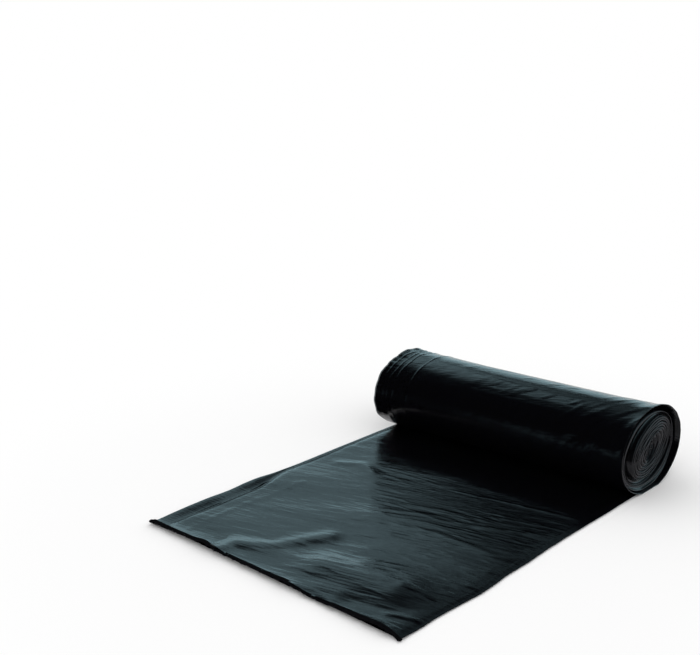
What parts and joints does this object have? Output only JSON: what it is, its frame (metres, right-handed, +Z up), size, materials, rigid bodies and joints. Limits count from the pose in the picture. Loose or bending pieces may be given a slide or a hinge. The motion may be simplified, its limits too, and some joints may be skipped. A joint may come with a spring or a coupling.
{
  "type": "bin bag roll",
  "caption": "Soft coreless roll of black refuse sacks with its folded film web partly unrolled and ending at a torn perforation.",
  "frame": {"origin": "bottom centre of the bounding box of the roll and its unrolled tail", "axes": "+X along the roll's axis, towards the folded edge of the web; +Z up; the tail runs from the roll towards -Y"},
  "size_m": [0.35, 0.4783, 0.0939],
  "materials": {
    "film": "thin black polyethylene film, semi-gloss, finely creased along the roll"
  },
  "bodies": {
    "root": {"bag_web": "film"}
  },
  "joints": []
}
